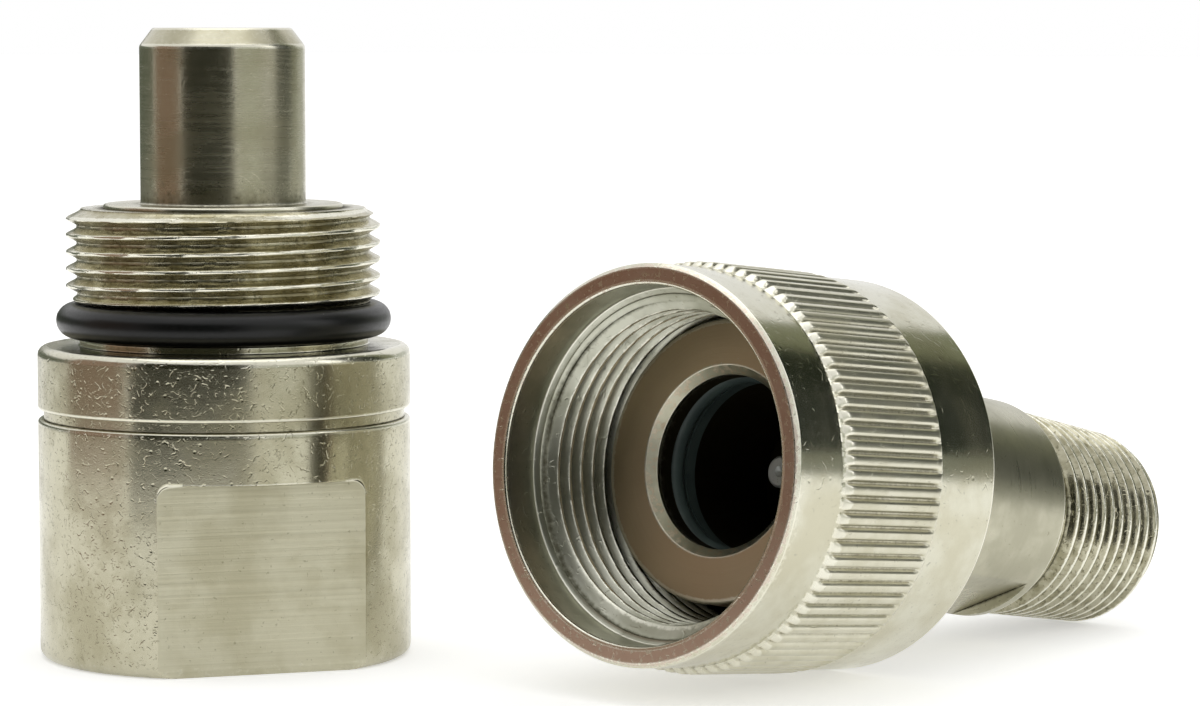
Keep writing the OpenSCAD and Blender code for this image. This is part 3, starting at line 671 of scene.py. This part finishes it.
def makeNozzle(size):
    r, top = size["radius"], size["top"]
    # the foot's corner and the seat inside the tip are painted dark (dirt and painted shade); the tip's
    # bevel is painted bright (wear and a painted highlight)
    profile = rounded([
        (size["bore"], size["shankBase"]), (size["shankRadius"], size["shankBase"]),
        (size["shankRadius"], size["footFloor"]), (size["footRadius"], size["footFloor"]),
        (size["footRadius"], size["foot"], 0.22), (r, size["foot"], 0.15, (0, 0.5, 0)),
        (r, size["foot"] + 5), (r, size["foot"] + 10),
        (r, top - size["tipBevelAlong"], 0.5, (0.3, 0, 0)),
        (r - size["tipBevelAcross"], top, 0.35, (0.3, 0, 0)),
        (size["tipHole"], top, 0.12), (size["tipHole"], size["seatAt"], 0, soiledAndShaded),
        (size["bore"], size["seatAt"] - size["seatSlope"], 0, soiledAndShaded)])
    return ringPiece("plugNozzle", ringRows(profile, evenAngles(192)), brushedNickel)


plugNozzle = makeNozzle(nozzle)
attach(plugNozzle, "housings")
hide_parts("plug_nozzle")

collarSeal = {"radius": 13.4, "section": 3.1, "height": 30.05, "flash": 0.035,
              "unevenness": 0.005}


def makeCollarSeal(size):
    angles = evenAngles(256)
    rings = []
    around = 48
    for step in range(around):
        turn = step * fullTurn / around
        # a thin moulding line runs round the ring at its widest place
        lip = size["flash"] * math.exp(-((turn - 0.35) / 0.05) ** 2)
        half = size["section"] / 2 - size["flash"] + lip
        swell = 1 + size["unevenness"] * np.sin(angles * 2 + 0.6)
        rings.append(ringRow(size["radius"] + half * math.cos(turn),
                             size["height"] + half * math.sin(turn) * swell, angles))
    return ringPiece("collarSealRing", rings, mouldedRubber)


collarSealRing = makeCollarSeal(collarSeal)
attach(collarSealRing, "housings")
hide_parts("collar_ring")

# socket pieces are made round their own axis, from the mouth at height 0

nutJoint = joints["nut_spin"]
nutPlace = alongAxis(nutJoint["pos_m"], nutJoint["axis"])
leanAt = 18.5  # where the two axes cross, in mm from the mouth
bodyAxis = Vector(joints["socket_valve_slide"]["axis"])
crossing = nutPlace @ Vector((0, 0, leanAt * mm))
bodyPlace = alongAxis(crossing - bodyAxis * leanAt * mm, bodyAxis)

nut = {
    "mouthRadius": 15.0, "mouthDepth": 3.8, "crest": 13.2, "threadDepth": 0.9, "pitch": 1.5,
    "threadEnd": 17.2, "runoutRadius": 14.5, "shoulderAt": 19.6, "shoulderRadius": 10.6,
    "shoulderEnd": 23.2, "keeperRadius": 12.4, "length": 26.6, "frontRadius": 16.8,
    "knurlRadius": 17.35, "rearRadius": 17.1, "knurlStart": 5.9, "knurlEnd": 18.7,
    "ridges": 88, "ridgeDepth": 0.42, "rimBevel": 0.35,
}


def makeNut(size):
    smooth = evenAngles(352)
    coarse = evenAngles(288)
    ridge = fullTurn / size["ridges"]
    offsets = np.array([-0.5, -0.36, -0.235, -0.14, -0.05, 0.05, 0.14, 0.235, 0.36])
    grooveAngles = (np.arange(size["ridges"])[:, None] * ridge + offsets[None, :] * ridge).ravel()
    grooveShape = np.tile(np.clip(1.12 - np.abs(offsets) / 0.235, 0, 1), size["ridges"])
    front, rear, knurl = size["frontRadius"], size["rearRadius"], size["knurlRadius"]
    random.seed(7)
    tornTop = np.repeat([random.uniform(-0.03, 0.03) for _ in range(size["ridges"])], len(offsets))

    outerFront = rounded([
        (size["mouthRadius"], 0.6), (size["mouthRadius"], 0, 0.22, (1, 0, 0.3)),
        (front - size["rimBevel"], 0, 0.12, (0.6, 0, 0.6)),
        (front, size["rimBevel"], 0.1, (0.5, 0, 0.1)), (front, 2.5), (front, 5.2)], closed=False)
    rings = ringRows(outerFront, smooth)
    faceMarks = (0, 0, 0.7)
    # the bronzed rim face lies between its two edges, which are worn and painted bright as a highlight
    edgeRows = [ringRow(size["mouthRadius"] + 0.45, 0.0, smooth, faceMarks),
                ringRow(front - size["rimBevel"] - 0.25, 0.0, smooth, faceMarks)]
    inside = [i for i, (radius, height, _) in enumerate(outerFront)
              if height < 0.001 and radius < size["mouthRadius"] + 0.4]
    cut = inside[-1] + 1
    rings = rings[:cut] + edgeRows + rings[cut:]

    def knurlRow(z, radius, depth, marks=plain, narrow=1.0):
        # ridge tops are painted bright (wear and a painted highlight) and groove bottoms dark (dirt and
        # painted shade)
        shape = np.clip(grooveShape * narrow, 0, 1)
        grimeAndShade = shape * 0.55 * min(depth * 3, 1)
        lift = tornTop * (1 - shape) * min(depth * 2, 1)
        return ringRow(radius - depth * shape + lift, z, grooveAngles,
                       (marks[0] * (1 - shape), grimeAndShade, 0))

    step = knurl - front
    start, end, deep = size["knurlStart"], size["knurlEnd"], size["ridgeDepth"]
    # the front flank of the knurl is painted bright: wear and a painted highlight
    rings += [
        knurlRow(start - 0.3, front, 0), knurlRow(start - 0.05, front, 0, wornAndHighlit),
        knurlRow(start + step * 0.25, front + step * 0.3, 0.05, wornAndHighlit),
        knurlRow(start + step * 0.6, front + step * 0.68, 0.25, wornAndHighlit),
        knurlRow(start + step * 0.95, knurl - 0.04, 0.38, wornAndHighlit),
        knurlRow(start + step * 1.3, knurl, deep, (0.7, 0, 0))]
    rings += [knurlRow(z, knurl, deep, (0.25, 0, 0))
              for z in np.linspace(start + 1.2, end - 0.75, 12)]
    rings += [
        knurlRow(end - 0.45, knurl, deep * 0.9, (0.3, 0, 0)),
        knurlRow(end - 0.2, knurl, deep * 0.55, (0.4, 0, 0), 0.8),
        knurlRow(end, knurl - 0.03, 0.08, (0.6, 0, 0), 0.5),
        knurlRow(end + 0.22, rear, 0), knurlRow(end + 0.4, rear, 0)]
    # the inside behind the thread is painted dark: dirt and painted shade
    outerRear = rounded([
        (rear, end + 0.9), (rear, size["length"], 0.28),
        (size["keeperRadius"], size["length"], 0.15),
        (size["keeperRadius"], size["shoulderEnd"], 0, soiledAndShaded),
        (size["shoulderRadius"], size["shoulderEnd"], 0, soiledAndShaded),
        (size["shoulderRadius"], size["shoulderAt"], 0, soiledAndShaded),
        (size["runoutRadius"], size["shoulderAt"], 0, soiledAndShaded),
        (size["runoutRadius"], size["threadEnd"] + 0.3, 0, soiledAndShaded)], closed=False)
    rings += ringRows(outerRear, smooth)
    steps = 216
    for index in range(steps + 1):
        z = size["threadEnd"] + 0.2 - index * (size["threadEnd"] + 0.2 - size["mouthDepth"]) / steps
        rise = threadHeight(z / size["pitch"] - coarse / fullTurn, 0.16, 0.1)
        fade = smoothStep(size["mouthDepth"], size["mouthDepth"] + 0.9, z)
        radius = size["crest"] + size["threadDepth"] * (1 - rise)
        # the start of the thread opens to the counterbore
        radius = np.maximum(radius, size["crest"] + 1.3 * (1 - fade))
        # thread crests painted bright as a highlight, roots painted dark as shade
        rings.append(ringRow(radius, z, coarse,
                             (rise ** 5 * 0.8 * fade, (1 - rise) ** 2 * 0.7, 0)))
    mouth = rounded([
        (size["crest"] + 1.35, size["mouthDepth"]),
        (size["mouthRadius"], size["mouthDepth"] - 0.25, 0.15), (size["mouthRadius"], 2.2),
        (size["mouthRadius"], 0.9)], closed=False)
    rings += ringRows(mouth, smooth)
    return ringPiece("couplingNutKnurled", rings, nutNickel, nutPlace)


couplingNutKnurled = makeNut(nut)
finishFaces(couplingNutKnurled, knurledNickel, lambda reach, height, face: (
    reach > nut["rearRadius"] - 0.9
    and nut["knurlStart"] + 0.1 < height < nut["knurlEnd"] + 0.1))
finishFaces(couplingNutKnurled, innerNickel, lambda reach, height, face: (
    reach < nut["mouthRadius"] + 0.05 and 0.3 < height < nut["threadEnd"] + 0.4))
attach(couplingNutKnurled, "nut")
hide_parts("coupling_nut")

socketFace = {
    "face": 10.4, "faceRadius": 12.2, "faceEnd": 17.5, "bore": 7.47, "boreBevel": 0.75,
    "glandStart": 13.0, "glandEnd": 16.2, "glandRadius": 9.04, "boreEnd": 26.4, "seatHole": 5.0,
    "seatHoleEnd": 27.2, "seatEnd": 28.4, "seatRadius": 6.2, "spigotRadius": 8.4, "joint": 20.5,
    "neckRadius": 10.0,
}


def makeSocketBody(size):
    face, bore = size["face"], size["bore"]
    # the bore is painted black inside, a painted shade that deepens past its bevel
    paintedBoreShade = (0, 1, 0)
    profile = rounded([
        (bore, size["boreEnd"], 0, paintedBoreShade), (size["seatHole"], size["boreEnd"], 0, paintedBoreShade),
        (size["seatHole"], size["seatHoleEnd"], 0, paintedBoreShade),
        (size["seatRadius"], size["seatEnd"], 0, paintedBoreShade),
        (size["spigotRadius"], size["seatEnd"]), (size["spigotRadius"], size["joint"]),
        (size["neckRadius"], size["joint"]), (size["neckRadius"], size["faceEnd"]),
        (size["faceRadius"], size["faceEnd"], 0.1), (size["faceRadius"], face, 0.3, (0, 0, 0.8)),
        (size["faceRadius"] - 0.6, face, 0, bronze),
        (bore + size["boreBevel"] + 0.25, face, 0, bronze),
        (bore + size["boreBevel"], face, 0.1, (0.5, 0, 0.45)),
        (bore, face + size["boreBevel"], 0.1, (0.3, 0.2, 0.3)),
        (bore, face + size["boreBevel"] + 0.5, 0, (0, 0.75, 0)),
        (bore, size["glandStart"], 0, paintedBoreShade), (size["glandRadius"], size["glandStart"], 0, paintedBoreShade),
        (size["glandRadius"], size["glandEnd"], 0, paintedBoreShade), (bore, size["glandEnd"], 0, paintedBoreShade),
        (bore, 20, 0, paintedBoreShade)])
    return ringPiece("socketBodyTurned", ringRows(profile, evenAngles(224)), turnedNickel, bodyPlace)


socketBodyTurned = makeSocketBody(socketFace)
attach(socketBodyTurned, "housings")
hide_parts("socket_body")

tail = {
    "bore": 5.2, "chamber": 7.7, "chamberEnd": 43.4, "seatEnd": 28.4, "spigot": 8.42,
    "joint": 20.5, "neckRadius": 10.0, "keeperAt": 25.12, "keeperDepth": 0.9, "neckEnd": 47.6,
    "threadAt": 49.2, "end": 65.6, "endRadius": 9.05, "taper": 0.03125, "pitch": 1.5,
    "threadDepth": 0.8, "flatAcross": 18.0, "flatStart": 31.1, "flatEnd": 46.6, "flatTurn": -24,
    "threadInside": 7.5,
}


def makeTail(size):
    angles = evenAngles(360)
    r = size["neckRadius"]
    cutRadius = np.full(angles.shape, 99.0)
    for turn in (size["flatTurn"], size["flatTurn"] + 180):
        turned = (angles - math.radians(turn) + math.pi) % fullTurn - math.pi
        cutRadius = np.where(
            np.abs(turned) < 1.2, size["flatAcross"] / 2 / np.cos(np.minimum(np.abs(turned), 1.2)),
            cutRadius)

    def neckRow(z, depth, marks=plain):
        cut = softMin(np.full(angles.shape, r), cutRadius, 0.05)
        share = smoothStep(r, r - 0.1, cut)
        return ringRow(r + (cut - r) * depth, z, angles, [mark * share for mark in marks])

    groove = size["keeperAt"]
    lower = rounded([
        (size["spigot"], size["seatEnd"]), (size["spigot"], size["joint"]), (r, size["joint"]),
        (r, groove - 0.9), (r - size["keeperDepth"], groove - 0.9),
        (r - size["keeperDepth"], groove + 0.9), (r, groove + 0.9), (r, 27), (r, 29)],
        closed=False)
    rings = ringRows(lower, angles)
    start, end = size["flatStart"], size["flatEnd"]
    # each end of the flat is painted bright on its edge (wear and a painted highlight) and dark in its
    # corner (dirt and painted shade)
    rings += [
        neckRow(start - 0.2, 0), neckRow(start - 0.04, 0, (0.6, 0, 0)), neckRow(start, 0.5),
        neckRow(start + 0.04, 1, soiledAndShaded), neckRow(start + 0.3, 1)]
    rings += [neckRow(z, 1) for z in np.linspace(start + 1.5, end - 1.5, 8)]
    rings += [
        neckRow(end - 0.3, 1), neckRow(end - 0.04, 1, soiledAndShaded), neckRow(end, 0.5),
        neckRow(end + 0.04, 0, (0.6, 0, 0)), neckRow(end + 0.25, 0)]
    startRadius = size["endRadius"] + (size["end"] - size["threadAt"]) * size["taper"]
    root = startRadius - size["threadDepth"]
    cone = rounded([
        (r, size["neckEnd"] - 0.2), (r, size["neckEnd"], 0.15), (root + 0.05, size["threadAt"] - 0.1),
        (root, size["threadAt"])], closed=False)
    rings += ringRows(cone, angles)
    steps = 260
    length = size["end"] - size["threadAt"]
    for index in range(1, steps + 1):
        z = size["threadAt"] + index * length / steps
        crest = startRadius - (z - size["threadAt"]) * size["taper"]
        rise = threadHeight(z / size["pitch"] - angles / fullTurn, 0.16, 0.12)
        fade = smoothStep(size["threadAt"], size["threadAt"] + 1.1, z)
        radius = crest - size["threadDepth"] * (1 - rise * fade)
        limit = crest - 0.9 * smoothStep(size["end"] - 1.0, size["end"] + 0.25, z)
        radius = softMin(radius, np.full(angles.shape, limit), 0.08)
        # thread crests painted bright as a highlight, roots painted dark as shade
        rings.append(ringRow(radius, z, angles,
                             (rise ** 6 * 0.8, (1 - rise) ** 2 * 0.55, 0)))
    # the bore is painted dark inside: dirt and painted shade
    inner = rounded([
        (size["bore"] + 1.6, size["end"]), (size["bore"], size["end"], 0.3),
        (size["bore"], size["end"] - 3, 0, soiledAndShaded), (size["bore"], size["chamberEnd"], 0, soiledAndShaded),
        (size["chamber"], size["chamberEnd"], 0, soiledAndShaded),
        (size["chamber"], size["seatEnd"], 0, soiledAndShaded)],
        closed=False)
    rings += ringRows(inner, angles)
    return ringPiece("socketTailTurned", rings, turnedNickel, bodyPlace)


socketTailTurned = makeTail(tail)
finishFaces(socketTailTurned, tailNickel, lambda reach, height, face: (
    height > tail["threadAt"] and reach > tail["threadInside"]))
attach(socketTailTurned, "housings")
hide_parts("socket_tail")

# the solids that stay get their finishes
finishes = {
    "plug_valve": groundSteel, "socket_valve": groundSteel, "plug_spring_guide": groundSteel,
    "socket_spring_guide": groundSteel, "plug_spring": springWire, "socket_spring": springWire,
    "plug_snap_ring": springWire, "nut_keeper_ring": springWire, "plug_valve_ring": mouldedRubber,
    "socket_valve_ring": mouldedRubber, "plug_body_ring": mouldedRubber,
    "nozzle_foot_ring": mouldedRubber, "socket_joint_ring": mouldedRubber,
    "bore_ring": sealPlastic, "bore_backup_ring": sealPlastic,
}
for nodeName, material in finishes.items():
    solid = frame["nodes"][nodeName]
    solid.data.materials.clear()
    solid.data.materials.append(material)
print("pieces made")

studio = {
    "floorSize": 12.0, "floorColour": "#f2f2f0", "floorLift": 0.42, "roomLight": 0.75,
    "topLamp": 1.2, "sideLamp": 0.4, "cameraLens": 120.0,
}


def seenRay(tree, hidden, seen):
    # one value for rays that see the background, from the camera or off the metal
    path = addNode(tree, "ShaderNodeLightPath").outputs
    share = path["Is Camera Ray"]
    for ray in ("Is Glossy Ray", "Is Transmission Ray"):
        share = addNode(
            tree, "ShaderNodeMath", {0: share, 1: path[ray]}, operation="MAXIMUM").outputs[0]
    return addNode(tree, "ShaderNodeMapRange", {
        "Value": share, "To Min": hidden, "To Max": seen}).outputs[0]


def makeFloor(look):
    half = look["floorSize"] / 2
    mesh = bpy.data.meshes.new("paperFloor")
    corners = [(-half, -half, 0), (half, -half, 0), (half, half, 0), (-half, half, 0)]
    mesh.from_pydata(corners, [], [(0, 1, 2, 3)])
    material = bpy.data.materials.new("mattPaper")
    material.use_nodes = True
    tree = material.node_tree
    shader = tree.nodes["Principled BSDF"]
    shader.inputs["Base Color"].default_value = linearColour(look["floorColour"])
    shader.inputs["Roughness"].default_value = 0.9
    shader.inputs["Specular IOR Level"].default_value = 0.1
    shader.inputs["Emission Color"].default_value = (1, 1, 1, 1)
    tree.links.new(seenRay(tree, 0.0, look["floorLift"]), shader.inputs["Emission Strength"])
    mesh.materials.append(material)
    floor = bpy.data.objects.new("paperFloor", mesh)
    bpy.context.scene.collection.objects.link(floor)
    floor.location.z = cadBox[0][2] - 0.00002


def makeWorld(look):
    world = bpy.data.worlds.new("whiteRoom")
    bpy.context.scene.world = world
    world.use_nodes = True
    tree = world.node_tree
    background = tree.nodes["Background"]
    background.inputs["Color"].default_value = (1, 1, 1, 1)
    tree.links.new(seenRay(tree, look["roomLight"], 1.0), background.inputs["Strength"])


def addLamp(name, place, aim, size, power, colour="#ffffff"):
    lamp = bpy.data.lights.new(name, "AREA")
    lamp.shape = "RECTANGLE"
    lamp.size, lamp.size_y = size
    lamp.energy = power
    lamp.color = linearColour(colour)[:3]
    holder = bpy.data.objects.new(name, lamp)
    holder.location = place
    direction = Vector(aim) - Vector(place)
    holder.rotation_euler = direction.to_track_quat("-Z", "Y").to_euler()
    bpy.context.scene.collection.objects.link(holder)
    return holder


def addCard(name, bearing, width, distance, bottom, top, colour):
    # a card that only reflections see, standing round the object; bearing is in degrees
    material = bpy.data.materials.new(name + "Board")
    material.use_nodes = True
    tree = material.node_tree
    tree.nodes.clear()
    glow = addNode(tree, "ShaderNodeEmission", {
        "Color": linearColour(colour), "Strength": 1.0})
    addNode(tree, "ShaderNodeOutputMaterial", {"Surface": glow.outputs[0]})
    centre = Vector((0.012, -0.018, 0))
    steps = 8
    points, faces = [], []
    for step in range(steps + 1):
        turn = math.radians(bearing - width / 2 + width * step / steps)
        for height in (bottom, top):
            points.append((centre.x + distance * math.cos(turn),
                           centre.y + distance * math.sin(turn), height))
    for step in range(steps):
        faces.append((2 * step, 2 * step + 2, 2 * step + 3, 2 * step + 1))
    mesh = bpy.data.meshes.new(name)
    mesh.from_pydata(points, [], faces)
    mesh.materials.append(material)
    card = bpy.data.objects.new(name, mesh)
    bpy.context.scene.collection.objects.link(card)
    card.visible_camera = False
    card.visible_diffuse = False
    card.visible_shadow = False


makeFloor(studio)
makeWorld(studio)
addLamp("topSoftbox", (0.05, 0.05, 0.75), (0, 0, 0.02), (0.7, 0.7), studio["topLamp"])
addLamp("sideSoftbox", (0.35, -0.5, 0.35), (0, 0, 0.02), (0.3, 0.4), studio["sideLamp"])
viewBearing = 221.46  # where the camera stands, seen from the plug
cards = {  # from and to, in degrees right of the camera; distance, bottom and top in m; colour
    "farCardLeft": (-168, -104, 0.42, 0.002, 0.12, "#656b5d"),
    "roseCardLeft": (-100, -60, 0.17, 0.002, 0.12, "#957f70"),
    "darkCardFront": (-58, 14, 0.15, 0.001, 0.13, "#2d2e23"),
    "paleCardRight": (22, 58, 0.24, 0.002, 0.12, "#c6c9be"),
    "greyCardRight": (58, 112, 0.26, 0.002, 0.05, "#8c8e81"),
    "farCardRight": (112, 160, 0.4, 0.002, 0.1, "#cfd2cb"),
    "blackCardRight": (84, 120, 0.25, 0.036, 0.34, "#20261b"),
    "greyCardUpper": (120, 136, 0.25, 0.04, 0.34, "#85886f"),
}
for cardName, (start, stop, away, bottom, top, colour) in cards.items():
    addCard(cardName, viewBearing + (start + stop) / 2, stop - start, away, bottom, top, colour)

camera = bpy.data.cameras.new("mainCamera")
camera.lens = studio["cameraLens"]
camera.sensor_width = 36
camera.clip_start = 0.01
camera.clip_end = 20
eye = bpy.data.objects.new("mainCamera", camera)
eye.location = (-0.2454, -0.2617, 0.0560)
eye.rotation_euler = (math.radians(90 - 4.65), 0, math.radians(41.46 - 90))
bpy.context.scene.collection.objects.link(eye)
bpy.context.scene.camera = eye
bpy.context.scene.view_settings.view_transform = "Standard"
print("studio made")
